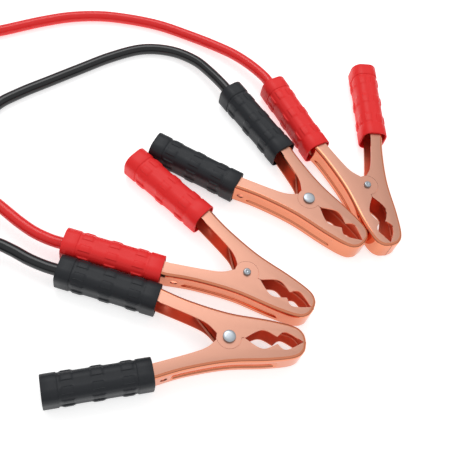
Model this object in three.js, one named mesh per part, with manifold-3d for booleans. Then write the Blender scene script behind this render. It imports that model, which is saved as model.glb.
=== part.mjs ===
// Car jumper cable set: a red lead and a black lead, each one cable with a spring clamp on both ends.
// Millimetres, +Z up. The floor that the set lies on is z = 0.
// Each clamp is drawn in its own frame: pivot at the origin, nose along +X, cable handle on the +Y side,
// rivet head up. It is then turned, flipped where it lies the other way up, and put in its place.
import * as THREE from 'three';
import { mergeVertices } from 'three/addons/utils/BufferGeometryUtils.js';
import loadManifold from 'manifold-3d';

const library = await loadManifold();
library.setup();

// Pressed jaws: a channel of two flat plates and a spine that follows the outer edge
const SHEET = 1.0;
const CHANNEL_HEIGHT = 17;
const BEND_RADIUS = 2;
const BEND_STEPS = 2;
const CLOSED_GAP = 0.3;
const MOUTH_REAR_X = 9.7;
const REAR_LOBE = [20.5, 6.1];
const TOOTH = [30, 2.4];
const FRONT_LOBE = [35.5, 5.8];
const NOSE_X = 48.5;
const NOSE_TIP_WIDTH = 1.5;
const LOBE_STEPS = 3;
const OUTER_STEPS = 11;

// Handles, straight under the grips and curved between there and the pivot
const HANDLE_START = [-44, 24.6];
const HANDLE_TILT = THREE.MathUtils.degToRad(13.5);
const HANDLE_LENGTH = 56;
const HANDLE_WIDTH = 9.4;
const SHOULDER = [-25, 22.5];
const SHOULDER_INNER = [-24.5, 12.6];
const THROAT = [-13.9, 7.9];
const WAIST = [0, 16.3];
const CHEEK = [25, 13.6];
const BROW = [41, 10.6];
const SPINE_HOLE_RADIUS = 2.25;
const SPINE_HOLE_BEFORE_HANDLE = 5.5;

// Pivot: the free jaw's ears are stepped in under the cable jaw's ears
const EAR_RADIUS = 7.7;
const EAR_CLEARANCE = 0.4;
const EAR_GAP = 0.3;
const CROTCH_HALF_ANGLE = THREE.MathUtils.degToRad(16);
const ROUND_STEPS = 14;

// Rivet
const RIVET_RADIUS = 2;
const RIVET_CLEARANCE = 0.15;
const RIVET_HEAD_RADIUS = 4;
const RIVET_TAIL_RADIUS = 2.5;
const RIVET_SEAT_GAP = 0.2;
const RIVET_DIMPLE = 0.5;
const RIVET_CROWN = 0.7;

// Torsion spring on the rivet
const SPRING_WIRE = 1.8;
const SPRING_RADIUS = 4.6;
const SPRING_TURNS = 3;
const SPRING_PITCH = 2.1;
const SPRING_LEG_X = -21;
const SPRING_SEAT_GAP = 0.35;
const SPRING_STEP = THREE.MathUtils.degToRad(60);
const SPRING_SIDES = 6;
const LEG_STEPS = 3;

// Grips: soft oval sleeves with a collar at both ends, a little wider on the channel's open side
const GRIP_LENGTH = 65;
const GRIP_WIDTH = 18;
const GRIP_CORNER = 6.5;
const GRIP_INWARD = 0.8;
const SIDE_WALL = 1.6;
const PLATE_WALL = 1;
const COLLAR_LENGTH = 9.5;
const COLLAR_STEP = 0.55;
const BORE_CLEARANCE = 0.35;
const BORE_CORNER = 4.6;
const MOUTH_FLARE = 0.8;
const CORNER_STEPS = 3;

// Cable
const CABLE_DIAMETER = 8;
const CABLE_SIDES = 8;
const CABLE_STEP = 18;
const CABLE_INSIDE_GRIP = 19;
const CONDUCTOR_DIAMETER = 5;
const CONDUCTOR_LENGTH = 16;
const TOUCH_GAP = 0.3;

// Coils: the cable's unseen length, wound in two layers
const COIL_MIDDLE_RADIUS = 47;
const COIL_TURNS_ACROSS = 4.25;
const COIL_LAYERS = 2;
const COIL_STEPS = 32;

const HALF_GAP = CLOSED_GAP / 2;
const HALF_HEIGHT = CHANNEL_HEIGHT / 2;
const BORE_HEIGHT = CHANNEL_HEIGHT + 2 * BORE_CLEARANCE;
const GRIP_HEIGHT = BORE_HEIGHT + 2 * PLATE_WALL;
const COLLAR_HALF_HEIGHT = GRIP_HEIGHT / 2 + COLLAR_STEP;
const CLAMP_Z = COLLAR_HALF_HEIGHT;
const CABLE_RADIUS = CABLE_DIAMETER / 2;

// Where each clamp lies: its pivot, heading, whether it lies rivet head down, and how far each grip
// is pushed back along its handle
const CLAMPS = {
  black_1: { x: 11, y: -89.4, heading: 13.7, flipped: false, cableGripSlip: 0, freeGripSlip: 0.5 },
  red_1: { x: 10.9, y: -43.6, heading: -12.8, flipped: true, cableGripSlip: 3.5, freeGripSlip: -1 },
  black_2: { x: 38.2, y: 24.7, heading: -24.8, flipped: false, cableGripSlip: -7.5, freeGripSlip: -1 },
  red_2: { x: 75.8, y: 50.1, heading: -59.4, flipped: true, cableGripSlip: -6, freeGripSlip: -4 },
};

// Each lead's two stretches, from behind a grip to the side of the coil, and where its coil lies.
// A stretch rests on the floor, and its last points lie on the coil's upper layer where it comes off the top.
const LEADS = {
  red: {
    coil: [-261.3, -17.9],
    red_2: [
      [-27, 132.5, 9.6], [-43, 140, 8], [-60, 144.5, 6.4], [-80.3, 147.8, 5], [-105.5, 149.6, 4.3],
      [-129.2, 147, 4], [-151.7, 141.2, 4], [-172.4, 131.3, 4], [-191.3, 117.9, 4], [-215, 98.2, 4],
      [-241.6, 78.5, 4], [-264.6, 62, 4], [-284.2, 45.9, 4],
    ],
    red_1: [
      [-127, -54, 8.8], [-141.4, -46.5, 6.8], [-156, -38.5, 6.2], [-168, -32.5, 8.8], [-177.5, -28, 12],
      [-188.6, -26.3, 12.8], [-193.9, -29.3, 12.1],
    ],
  },
  black: {
    coil: [-226.3, -151.9],
    black_2: [
      [-56, 115.5, 8.6], [-68.5, 123.5, 6.6], [-84, 127.6, 4.9], [-98.4, 126.4, 4.2], [-112.6, 120.6, 4],
      [-131, 104.7, 4], [-147.8, 85.8, 4], [-163.9, 67.2, 4], [-179.4, 49.1, 4], [-189.8, 34, 4],
      [-194, 16, 4], [-193, -2, 4], [-189, -20, 4], [-185.6, -39.5, 4], [-182.1, -67.5, 4],
      [-176.6, -92.5, 4], [-172.2, -109.1, 4],
    ],
    black_1: [
      [-124, -75.5, 9.4], [-137, -72.5, 7.4], [-149, -71, 6.6], [-164.6, -76, 10.8], [-179.6, -83, 12.9],
      [-192.6, -86.8, 12.3], [-202, -88.6, 12.1],
    ],
  },
};

// Materials
const copper = () => new THREE.MeshStandardMaterial({ color: 0xe8a58c, roughness: 0.4, metalness: 1 });
const zinc = () => new THREE.MeshStandardMaterial({ color: 0xc9ced2, roughness: 0.3, metalness: 1 });
const springSteel = () => new THREE.MeshStandardMaterial({ color: 0x8d9196, roughness: 0.35, metalness: 1 });
const conductorCopper = () => new THREE.MeshStandardMaterial({ color: 0xb8693f, roughness: 0.5, metalness: 1 });
const plastic = (name, roughness) => new THREE.MeshStandardMaterial({
  color: name.startsWith('red') ? 0xd92e2e : 0x26282b,
  roughness,
  metalness: 0,
});

// Booleans
function toSolid(geometry) {
  const bare = geometry.clone();
  bare.deleteAttribute('normal');
  bare.deleteAttribute('uv');
  const merged = mergeVertices(bare, 1e-4);
  return new library.Manifold(new library.Mesh({
    numProp: 3,
    vertProperties: new Float32Array(merged.attributes.position.array),
    triVerts: new Uint32Array(merged.index.array),
  }));
}

function toGeometry(solid) {
  const mesh = solid.getMesh();
  const geometry = new THREE.BufferGeometry();
  geometry.setAttribute('position', new THREE.BufferAttribute(mesh.vertProperties, 3));
  geometry.setIndex(new THREE.BufferAttribute(mesh.triVerts, 1));
  return geometry;
}

// A plan outline raised from one height to another, with rounded edges where a bevel is given
function raised(points, low, high, bevel = 0) {
  const geometry = new THREE.ExtrudeGeometry(new THREE.Shape(points), {
    depth: high - low - 2 * bevel,
    bevelEnabled: bevel > 0,
    bevelThickness: bevel,
    bevelSize: bevel,
    bevelOffset: -bevel,
    bevelSegments: BEND_STEPS,
    curveSegments: 1,
  });
  geometry.translate(0, 0, low + bevel);
  return toSolid(geometry);
}

function disc(radius, low, high) {
  const geometry = new THREE.CylinderGeometry(radius, radius, high - low, ROUND_STEPS);
  geometry.rotateX(Math.PI / 2);
  geometry.translate(0, 0, (low + high) / 2);
  return toSolid(geometry);
}

function tube(points, radius, sides, steps) {
  const ring = Array.from({ length: sides }, (_, i) => {
    const angle = (2 * Math.PI * i) / sides;
    return new THREE.Vector2(radius * Math.cos(angle), radius * Math.sin(angle));
  });
  const path = new THREE.CatmullRomCurve3(points, false, 'centripetal');
  return new THREE.ExtrudeGeometry(new THREE.Shape(ring), { steps, extrudePath: path, bevelEnabled: false });
}

// Points beside a plan curve, at a distance to the left of its direction
function beside(points, distance) {
  return points.map((point, i) => {
    const before = points[Math.max(i - 1, 0)];
    const after = points[Math.min(i + 1, points.length - 1)];
    const along = after.clone().sub(before).normalize();
    return new THREE.Vector2(point.x - along.y * distance, point.y + along.x * distance);
  });
}

// The handle's own frame: s runs from the grip's mouth to the rear, t outwards
function onHandle(s, t) {
  const along = new THREE.Vector2(-Math.cos(HANDLE_TILT), Math.sin(HANDLE_TILT));
  const across = new THREE.Vector2(Math.sin(HANDLE_TILT), Math.cos(HANDLE_TILT));
  return new THREE.Vector2(...HANDLE_START).addScaledVector(along, s).addScaledVector(across, t);
}

const vector = ([x, y]) => new THREE.Vector2(x, y);

// The jaw's outer edge from the nose to behind the handle's end, and on past the nose's middle line
function outerEdge() {
  const curved = new THREE.SplineCurve([
    new THREE.Vector2(NOSE_X, 0),
    new THREE.Vector2(NOSE_X - NOSE_TIP_WIDTH, (vector(BROW).y + NOSE_TIP_WIDTH) / 2),
    vector(BROW),
    vector(CHEEK),
    vector(WAIST),
    vector(SHOULDER),
    onHandle(0, HANDLE_WIDTH / 2),
  ]).getPoints(OUTER_STEPS);
  const pastNose = curved.slice(1, 3).reverse().map((p) => new THREE.Vector2(p.x, -p.y));
  return [...pastNose, ...curved, onHandle(HANDLE_LENGTH + GRIP_LENGTH, HANDLE_WIDTH / 2)];
}

// A blank bounded by the outer edge, or by a line a distance inside it
function blank(inset, low, high, bend) {
  const edge = beside(outerEdge(), inset);
  const rear = edge[edge.length - 1];
  const front = edge[0];
  const far = [new THREE.Vector2(rear.x, -NOSE_X), new THREE.Vector2(front.x, -NOSE_X)];
  return raised([...edge, ...far], low, high, bend);
}

function arcThrough(points) {
  return new THREE.SplineCurve(points).getPoints(LOBE_STEPS * (points.length - 1));
}

// The plates' plan on one side of the middle line, open past the outer edge
function platePlan() {
  const tip = new THREE.Vector2(NOSE_X - NOSE_TIP_WIDTH, HALF_GAP);
  const frontLobe = arcThrough([tip, vector(FRONT_LOBE), vector(TOOTH)]);
  const rearLobe = arcThrough([vector(TOOTH), vector(REAR_LOBE), new THREE.Vector2(MOUTH_REAR_X, HALF_GAP)]);
  const crotchRadius = EAR_RADIUS + EAR_CLEARANCE;
  const crotch = new THREE.Vector2(
    -crotchRadius * Math.cos(CROTCH_HALF_ANGLE),
    crotchRadius * Math.sin(CROTCH_HALF_ANGLE),
  );
  const handleInner = new THREE.SplineCurve([
    crotch,
    vector(THROAT),
    vector(SHOULDER_INNER),
    onHandle(0, -HANDLE_WIDTH / 2),
  ]).getPoints(LOBE_STEPS * 2);
  return [
    new THREE.Vector2(NOSE_X + SHEET, HALF_GAP),
    ...frontLobe,
    ...rearLobe.slice(1),
    new THREE.Vector2(0, HALF_GAP),
    ...handleInner,
    onHandle(HANDLE_LENGTH, -HANDLE_WIDTH / 2),
    onHandle(HANDLE_LENGTH, HANDLE_WIDTH),
    new THREE.Vector2(0, HANDLE_START[1]),
    new THREE.Vector2(NOSE_X + SHEET, HANDLE_START[1]),
  ].reverse();
}

function mirroredY(solid) {
  return solid.mirror([0, 1, 0]);
}

// Both plates' ears are the same, so an ear made above is repeated below
function aboveAndBelow(solid) {
  return solid.add(solid.mirror([0, 0, 1]));
}

function channel() {
  const walls = blank(0, -HALF_HEIGHT, HALF_HEIGHT, BEND_RADIUS)
    .subtract(blank(SHEET, SHEET - HALF_HEIGHT, HALF_HEIGHT - SHEET, BEND_RADIUS - SHEET));
  return walls.intersect(raised(platePlan(), -CHANNEL_HEIGHT, CHANNEL_HEIGHT));
}

// The round hole through the spine, just ahead of the grip
function spineHole() {
  const centre = onHandle(-SPINE_HOLE_BEFORE_HANDLE, HANDLE_WIDTH / 2);
  const geometry = new THREE.CylinderGeometry(SPINE_HOLE_RADIUS, SPINE_HOLE_RADIUS, 6 * SHEET, ROUND_STEPS / 2);
  geometry.rotateZ(-HANDLE_TILT);
  geometry.translate(centre.x, centre.y, 0);
  return toSolid(geometry);
}

function rivetHole() {
  return disc(RIVET_RADIUS + RIVET_CLEARANCE, -CHANNEL_HEIGHT, CHANNEL_HEIGHT);
}

function cableJaw() {
  const ears = aboveAndBelow(disc(EAR_RADIUS, HALF_HEIGHT - SHEET, HALF_HEIGHT));
  return channel().add(ears).subtract(rivetHole()).subtract(spineHole());
}

function freeJaw() {
  const recess = EAR_RADIUS + EAR_CLEARANCE;
  const earTop = HALF_HEIGHT - SHEET - EAR_GAP;
  const earLow = earTop - SHEET;
  const plan = raised(platePlan(), 0, CHANNEL_HEIGHT);
  const room = aboveAndBelow(disc(recess, earTop, CHANNEL_HEIGHT));
  const step = disc(recess + SHEET, earLow, HALF_HEIGHT).subtract(disc(recess, 0, CHANNEL_HEIGHT)).intersect(plan);
  const ear = disc(EAR_RADIUS, earLow, earTop)
    .add(disc(recess + SHEET, earLow, earTop).intersect(plan));
  return mirroredY(channel()
    .subtract(room)
    .add(aboveAndBelow(step.add(ear)))
    .subtract(rivetHole())
    .subtract(spineHole()));
}

function rivetGeometry() {
  const seat = HALF_HEIGHT + RIVET_SEAT_GAP;
  const end = COLLAR_HALF_HEIGHT;
  const profile = [
    [0, RIVET_DIMPLE - end],
    [RIVET_TAIL_RADIUS * RIVET_CROWN, -end],
    [RIVET_TAIL_RADIUS, RIVET_DIMPLE - end],
    [RIVET_TAIL_RADIUS, -seat],
    [RIVET_RADIUS, -seat],
    [RIVET_RADIUS, seat],
    [RIVET_HEAD_RADIUS, seat],
    [RIVET_HEAD_RADIUS, (seat + end) / 2],
    [0, end],
  ].map(([x, y]) => new THREE.Vector2(x, y));
  return new THREE.LatheGeometry(profile, ROUND_STEPS).rotateX(Math.PI / 2);
}

// The wire starts at the cable handle's spine, winds round the rivet and ends at the free handle's spine
function springGeometry() {
  const edge = new THREE.SplineCurve([vector(SHOULDER), vector(WAIST)]);
  const share = (SPRING_LEG_X - SHOULDER[0]) / (WAIST[0] - SHOULDER[0]);
  const reach = edge.getPoint(share).y - SHEET - SPRING_WIRE - SPRING_SEAT_GAP;
  const legEnd = new THREE.Vector2(SPRING_LEG_X, reach);
  const distance = legEnd.length();
  const bearing = Math.atan2(legEnd.y, legEnd.x) + Math.acos(SPRING_RADIUS / distance);
  const sweep = 2 * Math.PI * SPRING_TURNS + 2 * Math.PI - 2 * bearing + 2 * Math.PI;
  const steps = Math.round(sweep / SPRING_STEP);
  const rise = (SPRING_PITCH * sweep) / (2 * Math.PI);
  const points = [new THREE.Vector3(legEnd.x, legEnd.y, -rise / 2)];
  for (let i = 0; i <= steps; i += 1) {
    const angle = bearing + (sweep * i) / steps;
    points.push(new THREE.Vector3(
      SPRING_RADIUS * Math.cos(angle),
      SPRING_RADIUS * Math.sin(angle),
      rise * (i / steps - 0.5),
    ));
  }
  points.push(new THREE.Vector3(legEnd.x, -legEnd.y, rise / 2));
  return tube(points, SPRING_WIRE / 2, SPRING_SIDES, steps + 2 * LEG_STEPS);
}

// A rounded rectangle in the plane across the handle: y across, z up
function roundedRectangle(width, height, corner) {
  const points = [];
  for (const [sx, sy, start] of [[1, 1, 0], [-1, 1, 1], [-1, -1, 2], [1, -1, 3]]) {
    for (let i = 0; i <= CORNER_STEPS; i += 1) {
      const angle = (Math.PI / 2) * (start + i / CORNER_STEPS);
      points.push(new THREE.Vector2(
        sx * (width / 2 - corner) + corner * Math.cos(angle),
        sy * (height / 2 - corner) + corner * Math.sin(angle),
      ));
    }
  }
  return points;
}

// A straight bar of that section along the handle, from s = start to s = end, on the grip's middle line
function handleBar(width, height, corner, start, end) {
  const section = new THREE.Shape(roundedRectangle(width, height, corner));
  const geometry = new THREE.ExtrudeGeometry(section, { depth: end - start, bevelEnabled: false });
  const along = new THREE.Vector3(-Math.cos(HANDLE_TILT), Math.sin(HANDLE_TILT), 0);
  const up = new THREE.Vector3(0, 0, 1);
  const across = new THREE.Vector3().crossVectors(up, along);
  geometry.applyMatrix4(new THREE.Matrix4().makeBasis(across, up, along));
  const origin = onHandle(start, -GRIP_INWARD);
  geometry.translate(origin.x, origin.y, 0);
  return toSolid(geometry);
}

function grip(slip) {
  const end = slip + GRIP_LENGTH;
  const collarWidth = GRIP_WIDTH + 2 * COLLAR_STEP;
  const collarHeight = GRIP_HEIGHT + 2 * COLLAR_STEP;
  const collarCorner = GRIP_CORNER + COLLAR_STEP;
  const boreWidth = GRIP_WIDTH - 2 * SIDE_WALL;
  const mouthWidth = boreWidth + 2 * MOUTH_FLARE;
  const mouthCorner = BORE_CORNER - MOUTH_FLARE;
  return handleBar(GRIP_WIDTH, GRIP_HEIGHT, GRIP_CORNER, slip, end)
    .add(handleBar(collarWidth, collarHeight, collarCorner, slip, slip + COLLAR_LENGTH))
    .add(handleBar(collarWidth, collarHeight, collarCorner, end - COLLAR_LENGTH, end))
    .subtract(handleBar(boreWidth, BORE_HEIGHT, BORE_CORNER, slip - COLLAR_LENGTH, end + COLLAR_LENGTH))
    .subtract(handleBar(mouthWidth, BORE_HEIGHT, mouthCorner, slip - COLLAR_LENGTH, slip + COLLAR_LENGTH));
}

// The cable lies against the inside of the spine, so its middle is a little off the handle's
const CABLE_SIDESTEP = HANDLE_WIDTH / 2 - SHEET - CABLE_RADIUS - TOUCH_GAP;

function conductorGeometry(slip) {
  const from = slip + GRIP_LENGTH - CABLE_INSIDE_GRIP - TOUCH_GAP;
  const ends = [from, from - CONDUCTOR_LENGTH].map((s) => {
    const p = onHandle(s, CABLE_SIDESTEP);
    return new THREE.Vector3(p.x, p.y, 0);
  });
  return tube(ends, CONDUCTOR_DIAMETER / 2, CABLE_SIDES, 1);
}

function mesh(name, geometry, material) {
  const result = new THREE.Mesh(geometry, material);
  result.name = name;
  return result;
}

function clampGroup(name, { x, y, heading, flipped, cableGripSlip, freeGripSlip }) {
  const group = new THREE.Group();
  group.add(mesh(`${name}_cable_jaw`, toGeometry(cableJaw()), copper()));
  group.add(mesh(`${name}_free_jaw`, toGeometry(freeJaw()), copper()));
  group.add(mesh(`${name}_rivet`, rivetGeometry(), zinc()));
  group.add(mesh(`${name}_spring`, springGeometry(), springSteel()));
  group.add(mesh(`${name}_cable_grip`, toGeometry(grip(cableGripSlip)), plastic(name, 0.5)));
  group.add(mesh(`${name}_free_grip`, toGeometry(mirroredY(grip(freeGripSlip))), plastic(name, 0.5)));
  group.add(mesh(`${name}_conductor`, conductorGeometry(cableGripSlip), conductorCopper()));
  group.rotation.order = 'ZXY';
  group.rotation.z = THREE.MathUtils.degToRad(heading);
  group.rotation.x = flipped ? Math.PI : 0;
  group.position.set(x, y, CLAMP_Z);
  group.updateMatrixWorld(true);
  return group;
}

// A point on the cable's line in a clamp, s behind its cable grip's rear end, in the set's frame
function cablePoint(group, slip, s) {
  const p = onHandle(slip + GRIP_LENGTH + s, CABLE_SIDESTEP);
  return group.localToWorld(new THREE.Vector3(p.x, p.y, 0));
}

function stretchGeometry(group, slip, route) {
  const points = [
    cablePoint(group, slip, -CABLE_INSIDE_GRIP),
    cablePoint(group, slip, 0),
    cablePoint(group, slip, CABLE_DIAMETER),
    ...route.map((p) => new THREE.Vector3(...p)),
  ];
  const length = new THREE.CatmullRomCurve3(points, false, 'centripetal').getLength();
  return tube(points, CABLE_RADIUS, CABLE_SIDES, Math.round(length / CABLE_STEP));
}

function coilGeometry([x, y]) {
  const inner = COIL_MIDDLE_RADIUS - (COIL_TURNS_ACROSS * CABLE_DIAMETER) / 2;
  const outer = COIL_MIDDLE_RADIUS + (COIL_TURNS_ACROSS * CABLE_DIAMETER) / 2;
  const height = COIL_LAYERS * CABLE_DIAMETER;
  const section = [[inner, 0], [outer, 0], [outer, height], [inner, height], [inner, 0]];
  const geometry = new THREE.LatheGeometry(section.map(vector), COIL_STEPS);
  geometry.rotateX(Math.PI / 2);
  return geometry.translate(x, y, 0);
}

const set = new THREE.Group();
const clamps = {};
for (const [name, place] of Object.entries(CLAMPS)) {
  clamps[name] = clampGroup(name, place);
  set.add(clamps[name]);
}
for (const [lead, { coil, ...stretches }] of Object.entries(LEADS)) {
  set.add(mesh(`${lead}_cable_coil`, coilGeometry(coil), plastic(lead, 0.3)));
  for (const [name, route] of Object.entries(stretches)) {
    const geometry = stretchGeometry(clamps[name], CLAMPS[name].cableGripSlip, route);
    set.add(mesh(`${name}_cable`, geometry, plastic(lead, 0.3)));
  }
}

export default set;
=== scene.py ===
"""A car jumper cable set: a red and a black lead, each with a copper-plated spring clamp at both ends."""

import math

import bmesh
import bpy
import numpy as np
from mathutils import Matrix, Vector
from mathutils.geometry import tessellate_polygon


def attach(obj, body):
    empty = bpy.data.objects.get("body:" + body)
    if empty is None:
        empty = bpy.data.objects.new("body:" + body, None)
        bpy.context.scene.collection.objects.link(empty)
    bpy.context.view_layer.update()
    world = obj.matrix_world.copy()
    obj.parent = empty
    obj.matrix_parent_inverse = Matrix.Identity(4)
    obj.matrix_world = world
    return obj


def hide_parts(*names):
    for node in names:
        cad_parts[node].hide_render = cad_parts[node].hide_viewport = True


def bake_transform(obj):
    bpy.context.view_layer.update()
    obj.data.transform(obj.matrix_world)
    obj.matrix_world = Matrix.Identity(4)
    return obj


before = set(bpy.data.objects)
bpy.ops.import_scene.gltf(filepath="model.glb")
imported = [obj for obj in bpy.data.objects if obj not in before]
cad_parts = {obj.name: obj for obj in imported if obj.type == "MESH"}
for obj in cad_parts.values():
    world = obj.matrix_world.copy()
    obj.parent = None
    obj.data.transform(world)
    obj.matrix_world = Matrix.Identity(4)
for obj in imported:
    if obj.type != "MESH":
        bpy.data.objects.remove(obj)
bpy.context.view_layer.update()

MM = 0.001

# Sizes, the same as the solids' sizes, in millimetres
SHEET = 1.0
HALF_HEIGHT = 8.5
BEND_RADIUS = 2.0
HALF_GAP = 0.15
OUTER_EDGE = [(48.5, 0), (47, 6.05), (41, 10.6), (25, 13.6), (0, 16.3), (-25, 22.5)]
MOUTH_FRONT = [(46.3, HALF_GAP), (35.5, 5.8), (30, 2.4)]
MOUTH_REAR = [(30, 2.4), (20.5, 6.1), (9.7, HALF_GAP)]
HANDLE_START = (-44, 24.6)
HANDLE_TILT = math.radians(13.5)
HANDLE_LENGTH = 56.0
HANDLE_HALF_WIDTH = 4.7
THROAT = (-13.9, 7.9)
SHOULDER_INNER = (-24.5, 12.6)
HOLE_RADIUS = 2.25
HOLE_BEFORE_HANDLE = 5.5
EAR_RADIUS = 7.7
RECESS_RADIUS = 7.85
EAR_CLEARANCE = 0.3
EAR_TOP = HALF_HEIGHT - SHEET - EAR_CLEARANCE
CROTCH_ANGLE = math.pi - math.radians(16)
RIVET_RADIUS = 2.0
RIVET_HOLE = 2.15
CLAMP_Z = 10.4
GRIP_LENGTH = 65.0
GRIP_HALF = (9.0, 9.85)
GRIP_CORNER = 6.5
GRIP_INWARD = 0.8
COLLAR_LENGTH = 9.5
COLLAR_STEP = 0.55
BORE_HALF = (7.4, 8.85)
BORE_CORNER = 4.6
MOUTH_FLARE = 0.8
CABLE_DIAMETER = 8.0
CABLE_INSIDE_GRIP = 19.0
CABLE_SIDESTEP = HANDLE_HALF_WIDTH - SHEET - CABLE_DIAMETER / 2 - 0.3
SPRING_WIRE = 1.8
SPRING_RADIUS = 4.6
SPRING_PITCH = 2.1
SPRING_LEG = (-21.0, 18.4)

CLAMPS = {
    "black_1": dict(x=11, y=-89.4, heading=13.7, flipped=False, cable_slip=0, free_slip=0.5),
    "red_1": dict(x=10.9, y=-43.6, heading=-12.8, flipped=True, cable_slip=3.5, free_slip=-1),
    "black_2": dict(x=38.2, y=24.7, heading=-24.8, flipped=False, cable_slip=-7.5, free_slip=-1),
    "red_2": dict(x=75.8, y=50.1, heading=-59.4, flipped=True, cable_slip=-6, free_slip=-4),
}

# Each lead runs from its first clamp "there" to the coil, round both of its layers, and "back" to its second
# clamp. The lower layer winds inward from the angle where the cable joins it, and the upper one outward, both
# in degrees. "turn" is +1 for a coil wound anticlockwise. The points of "back" go from the clamp to the coil.
LEADS = {
    "red": dict(
        first="red_2",
        second="red_1",
        coil=(-261.3, -17.9),
        turn=1,
        joins=140,
        inward=1170,
        outward=1100,
        there=[
            (-27, 132.5, 9.6), (-43, 140, 8), (-60, 144.5, 6.4), (-80.3, 147.8, 5), (-105.5, 149.6, 4.3),
            (-129.2, 147, 4), (-151.7, 141.2, 4), (-172.4, 131.3, 4), (-191.3, 117.9, 4), (-215, 98.2, 4),
            (-241.6, 78.5, 4), (-264.6, 62, 4), (-284.2, 45.9, 4),
        ],
        back=[
            (-125.9, -56.6, 10.6), (-137.3, -53.1, 11), (-148.5, -48.5, 11.5), (-159.6, -44, 12),
            (-171, -40.4, 12.6), (-183, -39, 12.9), (-194.7, -41.5, 12.8), (-205.1, -47.5, 12.5),
            (-214.4, -55, 12.2),
        ],
    ),
    "black": dict(
        first="black_2",
        second="black_1",
        coil=(-226.3, -151.9),
        turn=-1,
        joins=0,
        inward=1170,
        outward=1200,
        there=[
            (-56, 115.5, 8.6), (-68.5, 123.5, 6.6), (-84, 127.6, 4.9), (-98.4, 126.4, 4.2),
            (-112.6, 120.6, 4), (-131, 104.7, 4), (-147.8, 85.8, 4), (-163.9, 67.2, 4),
            (-179.4, 49.1, 4), (-189.8, 34, 4), (-194, 16, 4), (-193, -2, 4), (-189, -20, 4),
            (-185.6, -39.5, 4), (-182.1, -67.5, 4), (-176.6, -92.5, 4), (-172.2, -109.1, 4),
        ],
        back=[
            (-122.4, -75.6, 10.6), (-134.1, -73.2, 11), (-145.9, -71.9, 11.6), (-157.6, -73.6, 12.2),
            (-168.7, -77.8, 12.7), (-179.7, -82.5, 12.9), (-191, -86.2, 12.8), (-202.6, -88.5, 12.5),
            (-214.5, -89.9, 12.2),
        ],
    ),
}
COIL_OUTER_TURN = 60.0
COIL_PITCH = 8.0
COIL_STEP_UP = 60
COIL_POINT_EVERY = 15
CORD_LIFT = 0.1
CORD_SPACING = 2.5
CORD_ROUNDNESS = 6

# Camera, at the photograph's angle
CAMERA_PLACE = (-11.3, -272.1, 454.6)
CAMERA_ELEVATION = math.radians(59.44)
CAMERA_ROLL = math.radians(17.0)
CAMERA_LENS = 61.56
CAMERA_SENSOR = 36
CAMERA_NEAR_M = 0.01
CAMERA_FAR_M = 20


def camera():
    data = bpy.data.cameras.new("camera")
    data.lens = CAMERA_LENS
    data.sensor_width = CAMERA_SENSOR
    data.clip_start = CAMERA_NEAR_M
    data.clip_end = CAMERA_FAR_M
    eye = bpy.data.objects.new("camera", data)
    bpy.context.scene.collection.objects.link(eye)
    right = Vector((1, 0, 0))
    down = Vector((0, -math.sin(CAMERA_ELEVATION), -math.cos(CAMERA_ELEVATION)))
    forward = Vector((0, math.cos(CAMERA_ELEVATION), -math.sin(CAMERA_ELEVATION)))
    across = math.cos(CAMERA_ROLL) * right - math.sin(CAMERA_ROLL) * down
    lower = math.sin(CAMERA_ROLL) * right + math.cos(CAMERA_ROLL) * down
    turn = Matrix((across, -lower, -forward)).transposed().to_4x4()
    eye.matrix_world = Matrix.Translation(Vector(CAMERA_PLACE) * MM) @ turn
    bpy.context.scene.camera = eye


camera()


# Materials, and their fine relief as the noise's scale, strength and height in metres
METAL_GRAIN = (900, 0.15, 0.00005)
MOULDED_SKIN = (700, 0.25, 0.0001)
NOISE_DETAIL = 4
COAT_ROUGHNESS = 0.15


def material(name, color, metallic, roughness, coat=0.0, bump=None, specular=0.5):
    made = bpy.data.materials.new(name)
    made.use_nodes = True
    nodes = made.node_tree.nodes
    links = made.node_tree.links
    shader = nodes["Principled BSDF"]
    shader.inputs["Base Color"].default_value = (*color, 1)
    shader.inputs["Metallic"].default_value = metallic
    shader.inputs["Roughness"].default_value = roughness
    shader.inputs["Specular IOR Level"].default_value = specular
    shader.inputs["Coat Weight"].default_value = coat
    shader.inputs["Coat Roughness"].default_value = COAT_ROUGHNESS
    if bump:
        scale, strength, distance = bump
        where = nodes.new("ShaderNodeTexCoord")
        noise = nodes.new("ShaderNodeTexNoise")
        noise.inputs["Scale"].default_value = scale
        noise.inputs["Detail"].default_value = NOISE_DETAIL
        relief = nodes.new("ShaderNodeBump")
        relief.inputs["Strength"].default_value = strength
        relief.inputs["Distance"].default_value = distance
        links.new(where.outputs["Object"], noise.inputs["Vector"])
        links.new(noise.outputs["Fac"], relief.inputs["Height"])
        links.new(relief.outputs["Normal"], shader.inputs["Normal"])
    return made


COPPER_FLAT = material("copper_flat", (0.635, 0.326, 0.238), 1, 0.42, bump=METAL_GRAIN)
# The spine and cut rims: the same copper plating, glossier, with a deeper, darker red that is painted shade
# of its sideways faces
COPPER_SPINE_PAINTED_SHADE = material("copper_spine_painted_shade", (0.76, 0.27, 0.15), 1, 0.1)
# The inner faces: the same copper plating in a redder, brighter copy, painted reflection of light bouncing
# between the copper walls
COPPER_INSIDE_PAINTED_BOUNCE = material("copper_inside_painted_bounce", (0.95, 0.32, 0.2), 1, 0.4)
ZINC = material("zinc", (0.46, 0.5, 0.54), 1, 0.32)
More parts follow.
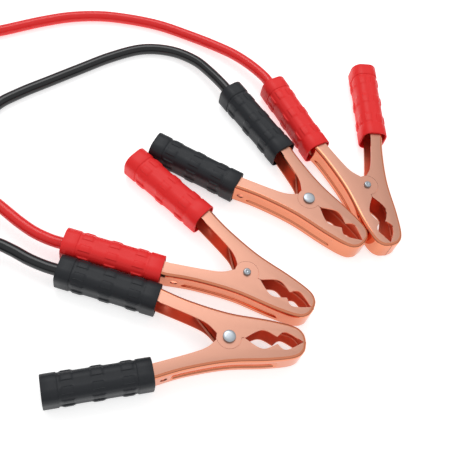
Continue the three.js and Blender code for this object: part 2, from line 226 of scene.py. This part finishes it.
# The spring: copper plating, darkened as painted shade so that it sinks into the shade between the jaws
SPRING_COPPER_PAINTED_SHADE = material("spring_steel", (0.5, 0.16, 0.1), 1, 0.4)
BARE_COPPER = material("bare_copper", (0.6, 0.25, 0.12), 1, 0.4)
RED_GRIP = material("red_grip", (0.86, 0.022, 0.022), 0, 0.42, bump=MOULDED_SKIN, specular=0.3)
BLACK_GRIP = material("black_grip", (0.016, 0.018, 0.022), 0, 0.45, bump=MOULDED_SKIN, specular=0.3)
RED_CABLE = material("red_cable", (0.84, 0.016, 0.016), 0, 0.25, coat=0.2, specular=0.3)
BLACK_CABLE = material("black_cable", (0.006, 0.0065, 0.008), 0, 0.16, coat=0.15, specular=0.4)


# Curves
def spline(points, steps):
    """Points of an even curve through the given plan points, the same curve as the solids'."""
    count = len(points) - 1
    made = []
    for k in range(steps + 1):
        t = count * k / steps
        i = min(int(t), count - 1)
        w = t - i
        p = [np.array(points[min(max(i + d, 0), count)], float) for d in (-1, 0, 1, 2)]
        v0 = (p[2] - p[0]) / 2
        v1 = (p[3] - p[1]) / 2
        cubic = 2 * p[1] - 2 * p[2] + v0 + v1
        square = -3 * p[1] + 3 * p[2] - 2 * v0 - v1
        made.append(cubic * w**3 + square * w**2 + v0 * w + p[1])
    return made


def centripetal(points, spacing):
    """Points close together along a centripetal curve through the given points in space."""
    p = [np.array(q, float) for q in points]
    p = [2 * p[0] - p[1], *p, 2 * p[-1] - p[-2]]
    made = []
    for i in range(1, len(p) - 2):
        near = p[i - 1 : i + 3]
        knots = [0.0]
        for a, b in zip(near, near[1:]):
            knots.append(knots[-1] + math.sqrt(np.linalg.norm(b - a)))
        steps = max(2, round(np.linalg.norm(p[i + 1] - p[i]) / spacing))
        for k in range(steps):
            t = knots[1] + (knots[2] - knots[1]) * k / steps
            a = [mixed(near[j], near[j + 1], knots[j], knots[j + 1], t) for j in range(3)]
            b = [mixed(a[j], a[j + 1], knots[j], knots[j + 2], t) for j in range(2)]
            made.append(mixed(b[0], b[1], knots[1], knots[2], t))
    made.append(p[-2])
    return made


def mixed(a, b, start, end, t):
    """The point at t on the line that is at a for t = start and at b for t = end."""
    share = (t - start) / (end - start)
    return a * (1 - share) + b * share


def on_handle(s, t):
    """A plan point in a clamp: s runs from the handle's start to the rear, and t outwards from its middle."""
    x = HANDLE_START[0] - math.cos(HANDLE_TILT) * s + math.sin(HANDLE_TILT) * t
    y = HANDLE_START[1] + math.sin(HANDLE_TILT) * s + math.cos(HANDLE_TILT) * t
    return (x, y)


def arc(radius, start, end, steps):
    """Plan points of an arc round the pivot."""
    angles = [start + (end - start) * k / steps for k in range(steps + 1)]
    return [(radius * math.cos(a), radius * math.sin(a)) for a in angles]


def circle(radius, sides):
    return arc(radius, 0, 2 * math.pi * (sides - 1) / sides, sides - 1)


def smooth(value):
    """A soft step from 0 at 0 to 1 at 1."""
    value = min(max(value, 0.0), 1.0)
    return value * value * (3 - 2 * value)


# Meshes, with hard edges where two faces meet at more than this angle
HARD_EDGE = math.radians(32)


def finish_mesh(name, vertices, faces, kinds, materials, mirror=False):
    """A mesh in millimetres from lists, with hard edges where faces meet at a sharp angle."""
    mesh = bpy.data.meshes.new(name)
    mesh.from_pydata([(x, -y if mirror else y, z) for x, y, z in vertices], [], faces)
    for polygon, kind in zip(mesh.polygons, kinds):
        polygon.material_index = kind
    work = bmesh.new()
    work.from_mesh(mesh)
    bmesh.ops.recalc_face_normals(work, faces=work.faces)
    for face in work.faces:
        face.smooth = True
    for edge in work.edges:
        edge.smooth = len(edge.link_faces) == 2 and edge.calc_face_angle(0) < HARD_EDGE
    work.to_mesh(mesh)
    work.free()
    for made in materials:
        mesh.materials.append(made)
    return mesh


def place(mesh, name, matrix, body, *nodes):
    """An object of that mesh in its clamp's place, which rides on a body and stands for CAD nodes."""
    made = bpy.data.objects.new(name, mesh)
    bpy.context.scene.collection.objects.link(made)
    made.matrix_world = matrix
    bpy.context.view_layer.update()
    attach(made, body)
    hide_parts(*nodes)
    return made


def clamp_matrix(at):
    """From a clamp's own millimetres, with the pivot at the origin, to its place in the scene."""
    turn = Matrix.Rotation(math.radians(at["heading"]), 4, "Z")
    flip = Matrix.Rotation(math.pi if at["flipped"] else 0, 4, "X")
    move = Matrix.Translation(Vector((at["x"], at["y"], CLAMP_Z)) * MM)
    return move @ turn @ flip @ Matrix.Scale(MM, 4)


# Jaws: a channel of two plates and a spine, with a longitudinal groove pressed into the spine
# SPINE faces, the spine and the cut rims, take the copper with painted shade
FLAT, SPINE, INSIDE = range(3)
EDGE_STEPS = 84
HANDLE_STATIONS = 15
BEND_POINTS = 7
SPINE_ROWS = (5.6, 4.6, 4.2, 4.0, 3.8, 3.6, 3.4, 3.2, 3.0, 2.8, 1.8, 0.0)
LOBE_STEPS = 20
INNER_STEPS = 24
EAR_STEPS = 40
EAR_BACK_STEPS = 32
EAR_STEP_SHORTFALL = math.radians(3.5)
EAR_STEP_OVERLAP = 0.2
RECESS_STEPS = 24
RIVET_HOLE_SIDES = 24
HOLE_SIDES = 32
HOLE_SPAN = (-4, 3)
GROOVE_HALF_WIDTH = 3.4
GROOVE_DEPTH = 1.1
GROOVE_AFTER_HOLE = 3.5
GROOVE_EDGE = 1.2
GROOVE_FRONT_X = 31.0
GROOVE_RUN_OUT = 2.5


def edge_stations():
    """Plan points of a jaw's outer edge, from the nose to the handle's end, and the way inwards at each."""
    curved = spline([*OUTER_EDGE, on_handle(0, HANDLE_HALF_WIDTH)], EDGE_STEPS)
    places = np.linspace(0, HANDLE_LENGTH, HANDLE_STATIONS)[1:]
    straight = [np.array(on_handle(s, HANDLE_HALF_WIDTH)) for s in places]
    points = [np.array((x, max(y, HALF_GAP))) for x, y in curved] + straight
    inward = []
    for i in range(len(points)):
        along = points[min(i + 1, len(points) - 1)] - points[max(i - 1, 0)]
        along = along / np.linalg.norm(along)
        inward.append(np.array((-along[1], along[0])))
    inward[0] = np.array((-1.0, 0.0))
    return points, inward


def groove_share(point):
    """How deep the groove is at a station. It ends just before the round hole by the grip."""
    hole = np.array(on_handle(-HOLE_BEFORE_HANDLE, HANDLE_HALF_WIDTH))
    front = smooth((GROOVE_FRONT_X - point[0]) / GROOVE_RUN_OUT)
    rear = smooth((point[0] - hole[0] - GROOVE_AFTER_HOLE) / GROOVE_RUN_OUT)
    return front * rear


def channel_contour(inner, groove):
    """The channel's section from the top plate to the bottom one: depth behind the outer edge, and height."""
    radius = BEND_RADIUS - (SHEET if inner else 0)
    inset = SHEET if inner else 0
    bend = [
        (BEND_RADIUS - radius * math.sin(a), HALF_HEIGHT - BEND_RADIUS + radius * math.cos(a))
        for a in np.linspace(0, math.pi / 2, BEND_POINTS)
    ]
    spine = []
    for z in SPINE_ROWS:
        depth = GROOVE_DEPTH * groove * smooth((GROOVE_HALF_WIDTH + GROOVE_EDGE / 2 - z) / GROOVE_EDGE)
        spine.append((inset + depth, z))
    half = bend + spine
    return half + [(d, -z) for d, z in reversed(half[:-1])]


def mouth():
    """The mouth's edge from behind its rear lobe to the nose."""
    rear = spline(list(reversed(MOUTH_REAR)), LOBE_STEPS)
    front = spline(list(reversed(MOUTH_FRONT)), LOBE_STEPS)
    return [tuple(p) for p in rear] + [tuple(p) for p in front[1:]]


def handle_inner():
    """The handle's inner edge from its end to the crotch by the pivot."""
    crotch = (RECESS_RADIUS * math.cos(CROTCH_ANGLE), RECESS_RADIUS * math.sin(CROTCH_ANGLE))
    curve = spline([crotch, THROAT, SHOULDER_INNER, on_handle(0, -HANDLE_HALF_WIDTH)], INNER_STEPS)
    line = [on_handle(HANDLE_LENGTH, -HANDLE_HALF_WIDTH)]
    return line + [tuple(p) for p in reversed(curve)]


def drilled(mesh, low_point, high_point, radius):
    """The same mesh with a round hole from one point to the other."""
    low, high = Vector(low_point), Vector(high_point)
    sizes = dict(radius1=radius, radius2=radius, depth=(high - low).length)
    cutter = bpy.data.meshes.new("cutter")
    work = bmesh.new()
    bmesh.ops.create_cone(work, cap_ends=True, segments=HOLE_SIDES, **sizes)
    turn = (high - low).to_track_quat("Z", "Y").to_matrix().to_4x4()
    bmesh.ops.transform(work, matrix=Matrix.Translation((low + high) / 2) @ turn, verts=work.verts)
    work.to_mesh(cutter)
    work.free()
    tool = bpy.data.objects.new("cutter", cutter)
    body = bpy.data.objects.new("drilled", mesh)
    bpy.context.scene.collection.objects.link(tool)
    bpy.context.scene.collection.objects.link(body)
    cut = body.modifiers.new("cut", "BOOLEAN")
    cut.operation = "DIFFERENCE"
    cut.solver = "EXACT"
    cut.object = tool
    bpy.context.view_layer.update()
    result = bpy.data.meshes.new_from_object(body.evaluated_get(bpy.context.evaluated_depsgraph_get()))
    bpy.data.objects.remove(tool)
    bpy.data.objects.remove(body)
    return result


def jaw_mesh(name, cable_side):
    """A jaw with its handle. The cable jaw's ears lie in its plates, and the free jaw's a step further in."""
    points, inward = edge_stations()
    count = len(points)
    if cable_side:
        ear = arc(EAR_RADIUS, CROTCH_ANGLE, 2 * math.pi + math.asin(HALF_GAP / EAR_RADIUS), EAR_STEPS)
    else:
        ear = arc(RECESS_RADIUS, CROTCH_ANGLE, math.asin(HALF_GAP / RECESS_RADIUS), RECESS_STEPS)[1:]
    inner_line = handle_inner() + ear + mouth()
    holes = [circle(RIVET_HOLE, RIVET_HOLE_SIDES)] if cable_side else []
    vertices, faces, kinds = [], [], []

    def add(vertex):
        vertices.append(vertex)
        return len(vertices) - 1

    def face(corners, kind):
        faces.append(corners)
        kinds.append(kind)

    def wall(first, second):
        for k in range(len(first) - 1):
            face((first[k], first[k + 1], second[k + 1], second[k]), SPINE)

    shells = []
    for inner in (False, True):
        grid = []
        for point, direction in zip(points, inward):
            row = []
            for distance, z in channel_contour(inner, groove_share(point)):
                x, y = point + direction * distance
                row.append(add((x, y, z)))
            grid.append(row)
        shells.append(grid)
        for i in range(count - 1):
            for j in range(len(grid[0]) - 1):
                corners = (grid[i][j], grid[i + 1][j], grid[i + 1][j + 1], grid[i][j + 1])
                face(corners, INSIDE if inner else SPINE)
    rims = {}
    for side in (1, -1):
        for inner, grid in enumerate(shells):
            z = side * (HALF_HEIGHT - SHEET * inner)
            column = 0 if side == 1 else -1
            border = [row[column] for row in grid]
            line = [add((x, y, z)) for x, y in inner_line]
            rings = [[add((x, y, z)) for x, y in hole] for hole in holes]
            loops = [border + line, *rings]
            flat = [index for loop in loops for index in loop]
            polygons = [[Vector(vertices[index]) for index in loop] for loop in loops]
            for triangle in tessellate_polygon(polygons):
                face(tuple(flat[k] for k in triangle), INSIDE if inner else FLAT)
            rims[side, inner] = (border, line, rings)
        paths = [[border[-1], *line, border[0]] for border, line, _ in (rims[side, 0], rims[side, 1])]
        wall(*paths)
        for ring_out, ring_in in zip(rims[side, 0][2], rims[side, 1][2]):
            wall(ring_out + ring_out[:1], ring_in + ring_in[:1])
    for end in (0, -1):
        wall(shells[0][end], shells[1][end])
    if not cable_side:
        for side in (1, -1):
            stepped_ear(add, face, side)
    # INSIDE faces, the inner shell and the free jaw's ears, take the copper with painted bounce light
    materials = [COPPER_FLAT, COPPER_SPINE_PAINTED_SHADE, COPPER_INSIDE_PAINTED_BOUNCE]
    mesh = finish_mesh(name, vertices, faces, kinds, materials, mirror=not cable_side)
    sign = 1 if cable_side else -1
    hole = [on_handle(-HOLE_BEFORE_HANDLE, HANDLE_HALF_WIDTH + t) for t in HOLE_SPAN]
    return drilled(mesh, *[(x, sign * y, 0) for x, y in hole], HOLE_RADIUS)


def prism(add, face, outline, low, high, kind, hole=()):
    """A closed plate of that outline, with one hole where given."""
    loops = [[[add((x, y, z)) for x, y in loop] for loop in (outline, hole) if loop] for z in (low, high)]
    for level in loops:
        flat = [index for loop in level for index in loop]
        polygons = [[Vector((x, y, 0)) for x, y in loop] for loop in (outline, hole) if loop]
        for triangle in tessellate_polygon(polygons):
            face(tuple(flat[k] for k in triangle), kind)
    for below, above in zip(*loops):
        for k in range(len(below)):
            n = (k + 1) % len(below)
            face((below[k], below[n], above[n], above[k]), kind)


def stepped_ear(add, face, side):
    """The free jaw's ear lies a plate's thickness further in, behind a step round the pivot."""
    rim = RECESS_RADIUS + SHEET
    start = math.asin(HALF_GAP / EAR_RADIUS)
    end = CROTCH_ANGLE - EAR_STEP_SHORTFALL
    front = arc(rim, start, end, RECESS_STEPS)
    ear = front + arc(EAR_RADIUS, CROTCH_ANGLE, 2 * math.pi + start, EAR_BACK_STEPS)
    heights = sorted((side * EAR_TOP, side * (EAR_TOP - SHEET)))
    prism(add, face, ear, *heights, INSIDE, circle(RIVET_HOLE, RIVET_HOLE_SIDES))
    step = front + arc(RECESS_RADIUS, end, start, RECESS_STEPS)
    heights = sorted((side * (EAR_TOP - EAR_STEP_OVERLAP), side * (HALF_HEIGHT - EAR_STEP_OVERLAP)))
    prism(add, face, step, *heights, INSIDE)


# Rivet: its crimped tail and domed head, as radius and distance from the end
RIVET_SIDES = 48
RIVET_SEAT = 8.7
TAIL_FACE = [(0.05, 0.75), (0.7, 0.65), (1.1, 0.2), (1.4, 0.02), (1.75, 0.05), (2.2, 0.3), (2.45, 0.75)]
TAIL_RADIUS = 2.5
HEAD_EDGE = [(3.95, 0), (4.0, 0.25)]
HEAD_FACE = [(4.0, 0.75), (3.85, 0.45), (3.4, 0.2), (2.6, 0.07), (1.5, 0.01), (0.05, 0)]


def rivet_mesh():
    tail = [(r, depth - CLAMP_Z) for r, depth in TAIL_FACE] + [(TAIL_RADIUS, -RIVET_SEAT)]
    pin = [(RIVET_RADIUS, -RIVET_SEAT), (RIVET_RADIUS, RIVET_SEAT)]
    head = [(r, RIVET_SEAT + rise) for r, rise in HEAD_EDGE]
    head += [(r, CLAMP_Z - depth) for r, depth in HEAD_FACE]
    profile = tail + pin + head
    vertices, faces = [], []
    for k in range(RIVET_SIDES):
        a = 2 * math.pi * k / RIVET_SIDES
        vertices += [(r * math.cos(a), r * math.sin(a), z) for r, z in profile]
    count = len(profile)
    for k in range(RIVET_SIDES):
        n = (k + 1) % RIVET_SIDES
        for j in range(count - 1):
            faces.append((k * count + j, n * count + j, n * count + j + 1, k * count + j + 1))
    faces.append(tuple(k * count for k in range(RIVET_SIDES)))
    faces.append(tuple(k * count + count - 1 for k in range(RIVET_SIDES)))
    return finish_mesh("rivet", vertices, faces, [0] * len(faces), [ZINC])


# Torsion spring: one leg on each handle's spine, wound round the rivet between them
SPRING_TURNS = 5
SPRING_STEPS = 110
WIRE_SIDES = 12


def wire_mesh(name, points, radius, made):
    """A round wire along the given points."""
    p = [np.array(q, float) for q in points]
    vertices, faces = [], []
    side = np.array((0.0, 0.0, 1.0))
    for i in range(len(p)):
        along = p[min(i + 1, len(p) - 1)] - p[max(i - 1, 0)]
        along = along / np.linalg.norm(along)
        side = side - along * side.dot(along)
        side = side / np.linalg.norm(side)
        other = np.cross(along, side)
        for k in range(WIRE_SIDES):
            a = 2 * math.pi * k / WIRE_SIDES
            vertices.append(tuple(p[i] + radius * (math.cos(a) * side + math.sin(a) * other)))
    for i in range(len(p) - 1):
        for k in range(WIRE_SIDES):
            n = (k + 1) % WIRE_SIDES
            low, high = i * WIRE_SIDES, (i + 1) * WIRE_SIDES
            faces.append((low + k, low + n, high + n, high + k))
    faces.append(tuple(range(WIRE_SIDES)))
    faces.append(tuple((len(p) - 1) * WIRE_SIDES + k for k in range(WIRE_SIDES)))
    return finish_mesh(name, vertices, faces, [0] * len(faces), [made])


def spring_mesh():
    distance = math.hypot(*SPRING_LEG)
    bearing = math.atan2(SPRING_LEG[1], SPRING_LEG[0]) + math.acos(SPRING_RADIUS / distance)
    sweep = 2 * math.pi * SPRING_TURNS - 2 * bearing
    rise = SPRING_PITCH * sweep / (2 * math.pi)
    points = [(*SPRING_LEG, -rise / 2)]
    for k in range(SPRING_STEPS + 1):
        a = bearing + sweep * k / SPRING_STEPS
        z = rise * (k / SPRING_STEPS - 0.5)
        points.append((SPRING_RADIUS * math.cos(a), SPRING_RADIUS * math.sin(a), z))
    points.append((SPRING_LEG[0], -SPRING_LEG[1], rise / 2))
    return wire_mesh("spring", points, SPRING_WIRE / 2, SPRING_COPPER_PAINTED_SHADE)


# Grips: soft sleeves with a collar at both ends and three rows of raised pads round them
PAD_HEIGHT = 0.45
PAD_SIDE_HEIGHT = 0.7
PAD_LENGTH = 9.0
PAD_PITCH = 17.6
PADS_ROUND = 8
PAD_SHARE = 0.5
PAD_SOFTNESS = 0.03
PAD_RAMP = 2.2
PAD_RAMP_STEPS = 4
PAD_CLEARANCE = 0.6
BETWEEN_PADS = (0.43, 0.5, 0.57)
FLARE_DEPTH = 1
COLLAR_END = [(0.0, -0.5), (0.12, -0.18), (0.5, 0.0)]
COLLAR_BACK = [(-0.5, 0.0), (-0.1, -0.12)]
BODY_START = [(0.0, 0.1), (0.35, 0.0)]
TINY = 1e-9


def rounded_rectangle(a, b, corner, angle):
    """Where a ray at that angle from the middle meets a rounded rectangle, and the way outwards there."""
    c, s = math.cos(angle), math.sin(angle)
    x, y = abs(c), abs(s)
    at = min(a / x if x > TINY else math.inf, b / y if y > TINY else math.inf)
    px, py = x * at, y * at
    nx, ny = (1.0, 0.0) if a - px < TINY else (0.0, 1.0)
    if px > a - corner and py > b - corner:
        cx, cy = a - corner, b - corner
        along = x * cx + y * cy
        at = along + math.sqrt(along * along - cx * cx - cy * cy + corner * corner)
        px, py = x * at, y * at
        nx, ny = (px - cx) / corner, (py - cy) / corner
    return math.copysign(px, c), math.copysign(py, s), math.copysign(nx, c), math.copysign(ny, s)


def grip_angles():
    """Angles round a grip's section, close together at the pads' edges, and how much of a pad is at each."""
    made = []
    pitch = 2 * math.pi / PADS_ROUND
    half = PAD_SHARE / 2
    edge = [(-half - PAD_SOFTNESS, 0.0), (-half, 0.5), (-half + PAD_SOFTNESS, 1.0)]
    top = [(-half / 2, 1.0), (0.0, 1.0), (half / 2, 1.0)]
    other_edge = [(-share, pad) for share, pad in reversed(edge)]
    shares = edge + top + other_edge + [(share, 0.0) for share in BETWEEN_PADS]
    for k in range(PADS_ROUND):
        made += [((k + 0.5 + share) * pitch, pad) for share, pad in shares]
    return made


def grip_sections():
    """Along the grip: place, growth over the plain body, and how much of the pads is there."""
    sections = [(s, COLLAR_STEP + growth, 0) for s, growth in COLLAR_END]
    sections += [(COLLAR_LENGTH + s, COLLAR_STEP + growth, 0) for s, growth in COLLAR_BACK]
    sections += [(COLLAR_LENGTH + s, growth, 0) for s, growth in BODY_START]
    collar = list(sections)
    middle = GRIP_LENGTH / 2
    for centre in (middle - PAD_PITCH, middle, middle + PAD_PITCH):
        low, high = centre - PAD_LENGTH / 2, centre + PAD_LENGTH / 2
        low = max(low, COLLAR_LENGTH + PAD_CLEARANCE)
        high = min(high, GRIP_LENGTH - COLLAR_LENGTH - PAD_CLEARANCE)
        shares = [k / PAD_RAMP_STEPS for k in range(PAD_RAMP_STEPS + 1)]
        ramp = [(PAD_RAMP * share, smooth(share)) for share in shares]
        sections += [(low + s, 0, share) for s, share in ramp]
        sections += [(high - s, 0, share) for s, share in reversed(ramp)]
    return sections + [(GRIP_LENGTH - s, growth, 0) for s, growth, _ in reversed(collar)]


def grip_mesh(name, slip, made, mirror):
    """A sleeve on a handle, pushed back along it by its slip, with a bore that flares at its front."""
    angles = grip_angles()
    count = len(angles)
    vertices, faces = [], []
    along = np.array((-math.cos(HANDLE_TILT), math.sin(HANDLE_TILT), 0))
    across = np.array((math.sin(HANDLE_TILT), math.cos(HANDLE_TILT), 0))
    start = np.array((*HANDLE_START, 0.0)) - across * GRIP_INWARD

    def ring(s, half, corner, share=0.0):
        for angle, pad in angles:
            t, z, outward, upward = rounded_rectangle(*half, corner, angle)
            t += outward * share * pad * PAD_SIDE_HEIGHT
            z += upward * share * pad * PAD_HEIGHT
            vertices.append(tuple(start + along * (slip + s) + across * t + np.array((0, 0, z))))

    for s, growth, share in grip_sections():
        ring(s, [side + growth for side in GRIP_HALF], GRIP_CORNER + growth, share)
    flared = (BORE_HALF[0] + MOUTH_FLARE, BORE_HALF[1])
    ring(GRIP_LENGTH, BORE_HALF, BORE_CORNER)
    ring(COLLAR_LENGTH, BORE_HALF, BORE_CORNER)
    ring(COLLAR_LENGTH - FLARE_DEPTH, flared, BORE_CORNER - MOUTH_FLARE)
    ring(0, flared, BORE_CORNER - MOUTH_FLARE)
    rings = len(vertices) // count
    for i in range(rings):
        j = (i + 1) % rings
        for k in range(count):
            n = (k + 1) % count
            faces.append((i * count + k, i * count + n, j * count + n, j * count + k))
    return finish_mesh(name, vertices, faces, [0] * len(faces), [made], mirror)


# Cords: the whole lead, its unseen length wound in two layers
def coil_points(lead):
    """Points along a lead's coil: the lower layer inwards, a step up, and the upper layer outwards."""
    cx, cy = lead["coil"]
    slope = COIL_PITCH / 360
    total = lead["inward"] + COIL_STEP_UP + lead["outward"]
    inner = COIL_OUTER_TURN - slope * lead["inward"]
    angles = list(range(0, total, COIL_POINT_EVERY)) + [total]
    points = []
    for turned in angles:
        beyond = turned - lead["inward"]
        if beyond <= 0:
            radius, z = COIL_OUTER_TURN - slope * turned, CABLE_DIAMETER / 2
        elif beyond < COIL_STEP_UP:
            radius, z = inner, CABLE_DIAMETER * (0.5 + smooth(beyond / COIL_STEP_UP))
        else:
            radius, z = inner + slope * (beyond - COIL_STEP_UP), CABLE_DIAMETER * 1.5
        a = math.radians(lead["joins"] + lead["turn"] * turned)
        points.append((cx + radius * math.cos(a), cy + radius * math.sin(a), z + CORD_LIFT))
    return points


def cable_start(clamp):
    """Points on a cable's line in its clamp: inside the grip, at its rear end, and just behind it."""
    at = CLAMPS[clamp]
    matrix = clamp_matrix(at)
    made = []
    for s in (-CABLE_INSIDE_GRIP, 0, CABLE_DIAMETER):
        x, y = on_handle(at["cable_slip"] + GRIP_LENGTH + s, CABLE_SIDESTEP)
        made.append(tuple(matrix @ Vector((x, y, 0)) / MM))
    return made


def make_cord(colour, lead, made):
    first, second = cable_start(lead["first"]), cable_start(lead["second"])
    route = first + lead["there"] + coil_points(lead) + lead["back"][::-1] + second[::-1]
    points = [p * MM for p in centripetal(route, CORD_SPACING)]
    curve = bpy.data.curves.new(f"{colour}_lead", "CURVE")
    curve.dimensions = "3D"
    curve.bevel_depth = CABLE_DIAMETER / 2 * MM
    curve.bevel_resolution = CORD_ROUNDNESS
    curve.use_fill_caps = True
    line = curve.splines.new("POLY")
    line.points.add(len(points) - 1)
    for vertex, p in zip(line.points, points):
        vertex.co = (*p, 1)
    line.use_smooth = True
    cable = bpy.data.objects.new(f"{colour}_lead", curve)
    bpy.context.scene.collection.objects.link(cable)
    curve.materials.append(made)
    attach(cable, "set")
    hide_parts(f"{colour}_cable_coil", f"{lead['first']}_cable", f"{lead['second']}_cable")


for colour, cable_material in (("red", RED_CABLE), ("black", BLACK_CABLE)):
    make_cord(colour, LEADS[colour], cable_material)

# Clamps
cable_jaw = jaw_mesh("cable_jaw", True)
free_jaw = jaw_mesh("free_jaw", False)
rivet = rivet_mesh()
spring = spring_mesh()
for clamp, at in CLAMPS.items():
    matrix = clamp_matrix(at)
    colour = clamp.split("_")[0]
    plastic = RED_GRIP if colour == "red" else BLACK_GRIP
    free_body = f"{clamp}_free_half"
    cable_grip = grip_mesh(f"{clamp}_cable_grip", at["cable_slip"], plastic, False)
    free_grip = grip_mesh(f"{clamp}_free_grip", at["free_slip"], plastic, True)
    parts = [
        (cable_jaw, "cable_jaw", "set", "copper_plate"),
        (free_jaw, "free_jaw", free_body, "copper_plate"),
        (rivet, "rivet", "set", "zinc"),
        (cable_grip, "cable_grip", "set", f"{colour}_plastic"),
        (free_grip, "free_grip", free_body, f"{colour}_plastic"),
    ]
    for mesh, part, body, finish in parts:
        place(mesh, f"{clamp}_{part}_look", matrix, body, f"{clamp}_{part}")
    wire = bpy.data.objects.new(f"{clamp}_spring_look", spring.copy())
    bpy.context.scene.collection.objects.link(wire)
    wire.matrix_world = matrix
    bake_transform(wire)
    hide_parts(f"{clamp}_spring")
    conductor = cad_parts[f"{clamp}_conductor"]
    conductor.data.materials.clear()
    conductor.data.materials.append(BARE_COPPER)


# Stage, in metres: a white floor, soft studio light, and a sky bright overhead and dark at the horizon
FLOOR_HALF = 6
FLOOR_DROP = 0.0002
FLOOR_WHITE = (0.78, 0.78, 0.78)
FLOOR_ROUGHNESS = 0.9
FLOOR_GLOW = 0.6
KEY_PLACE = (-0.5, 0.9, 1.6)
KEY_SIZE = 1.0
KEY_POWER = 9
SKY_DARK = (0.02, (0.16, 0.16, 0.17, 1))
SKY_BRIGHT = (0.62, (1, 1, 1, 1))
SKY_STRENGTH = 0.78


def area_light(name, place_m, aim, size, power):
    data = bpy.data.lights.new(name, "AREA")
    data.shape = "SQUARE"
    data.size = size
    data.energy = power
    lamp = bpy.data.objects.new(name, data)
    bpy.context.scene.collection.objects.link(lamp)
    lamp.location = place_m
    lamp.rotation_euler = (Vector(aim) - Vector(place_m)).to_track_quat("-Z", "Y").to_euler()


def floor():
    mesh = bpy.data.meshes.new("floor")
    corners = [(x * FLOOR_HALF, y * FLOOR_HALF, 0) for x, y in ((-1, -1), (1, -1), (1, 1), (-1, 1))]
    mesh.from_pydata(corners, [], [(0, 1, 2, 3)])
    made = bpy.data.objects.new("floor", mesh)
    bpy.context.scene.collection.objects.link(made)
    made.location.z = -FLOOR_DROP
    paint = material("floor", FLOOR_WHITE, 0, FLOOR_ROUGHNESS, specular=0)
    shader = paint.node_tree.nodes["Principled BSDF"]
    shader.inputs["Emission Color"].default_value = (1, 1, 1, 1)
    shader.inputs["Emission Strength"].default_value = FLOOR_GLOW
    mesh.materials.append(paint)


def studio_world():
    world = bpy.data.worlds.new("studio")
    world.use_nodes = True
    nodes = world.node_tree.nodes
    links = world.node_tree.links
    where = nodes.new("ShaderNodeTexCoord")
    split = nodes.new("ShaderNodeSeparateXYZ")
    ramp = nodes.new("ShaderNodeValToRGB")
    for stop, (height, tone) in zip(ramp.color_ramp.elements, (SKY_DARK, SKY_BRIGHT)):
        stop.position = height
        stop.color = tone
    links.new(where.outputs["Generated"], split.inputs["Vector"])
    links.new(split.outputs["Z"], ramp.inputs["Fac"])
    links.new(ramp.outputs["Color"], nodes["Background"].inputs["Color"])
    nodes["Background"].inputs["Strength"].default_value = SKY_STRENGTH
    return world


floor()
area_light("key", KEY_PLACE, (0, 0, 0), KEY_SIZE, KEY_POWER)
scene = bpy.context.scene
scene.world = studio_world()
scene.view_settings.view_transform = "Standard"
scene.view_settings.look = "None"
